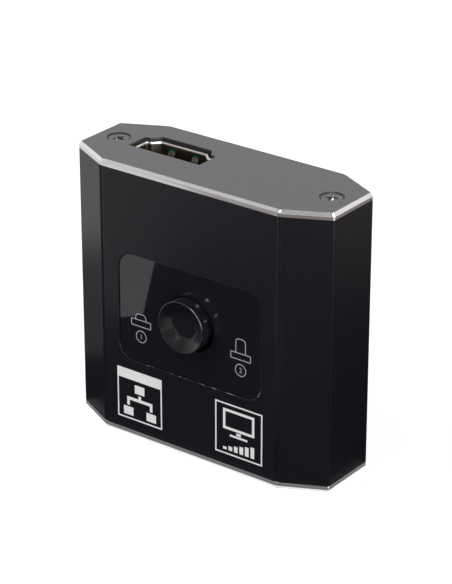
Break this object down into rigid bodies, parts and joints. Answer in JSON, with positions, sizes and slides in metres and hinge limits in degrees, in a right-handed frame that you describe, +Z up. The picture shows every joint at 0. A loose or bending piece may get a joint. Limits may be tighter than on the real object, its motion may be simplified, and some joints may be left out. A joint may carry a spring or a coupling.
{
  "type": "hdmi switch box",
  "caption": "Eight-sided anodised box that routes one video socket to either of two others, switched by a latching push button on its front.",
  "frame": {"origin": "middle of the underside, on the bottom end plate's outer face", "axes": "+X to the right seen from the front, +Y from the front face to the back, +Z up towards the single socket"},
  "size_m": [0.055, 0.0223, 0.0527],
  "materials": {
    "case_black": "black anodised, fine satin",
    "plate_grey": "dark anodised face with bare bevelled edges",
    "panel_gloss": "polished black acrylic",
    "adhesive": "black foam tape",
    "button_black": "polished black plastic",
    "switch_plastic": "black moulded nylon",
    "plunger_plastic": "natural moulded acetal",
    "tinned_steel": "nickel plated sheet steel",
    "spring_steel": "drawn wire",
    "contact_gold": "gold flashed bronze",
    "terminal_tin": "tinned bronze",
    "insulator_black": "black moulded polymer",
    "screw_black": "dark zinc plated steel",
    "board_green": "green solder mask over glass laminate",
    "chip_black": "black moulding compound",
    "capacitor_tan": "tan ceramic"
  },
  "bodies": {
    "case": {"housing_tube": "case_black", "top_end_plate": "plate_grey", "bottom_end_plate": "plate_grey", "top_plate_screws": "screw_black", "bottom_plate_screws": "screw_black", "front_panel": "panel_gloss", "panel_adhesive": "adhesive", "switch_case": "switch_plastic", "switch_cover": "tinned_steel", "switch_spring": "spring_steel", "switch_terminals": "terminal_tin", "circuit_board": "board_green", "switching_chip": "chip_black", "switching_chip_leads": "terminal_tin", "voltage_regulator": "chip_black", "voltage_regulator_leads": "terminal_tin", "protection_arrays": "chip_black", "supply_diodes": "chip_black", "capacitors": "capacitor_tan", "resistors": "chip_black", "output_socket_shell": "tinned_steel", "output_socket_contacts": "contact_gold", "output_socket_insulator": "insulator_black", "input_one_socket_shell": "tinned_steel", "input_one_socket_contacts": "contact_gold", "input_one_socket_insulator": "insulator_black", "input_two_socket_shell": "tinned_steel", "input_two_socket_contacts": "contact_gold", "input_two_socket_insulator": "insulator_black"},
    "button": {"button_cap": "button_black", "switch_plunger": "plunger_plastic", "moving_contacts": "terminal_tin"},
    "latch": {"latch_wire": "spring_steel"}
  },
  "joints": [
    {"name": "button_press", "type": "slide", "parent": "case", "child": "button", "axis": [0, 1, 0], "range_m": [0, 0.0023], "stiffness_N_per_m": 400, "springref_m": -0.002, "deforming": ["switch_spring"]},
    {"name": "latch_swing", "type": "hinge", "parent": "case", "child": "latch", "pos_m": [0.0001, 0.00263, 0.02645], "axis": [1, 0, 0], "range_deg": [0, 22.1]}
  ],
  "couplings": [
    {"joint": "latch_swing", "follows": "button_press", "rad_per_m": 167.13}
  ]
}
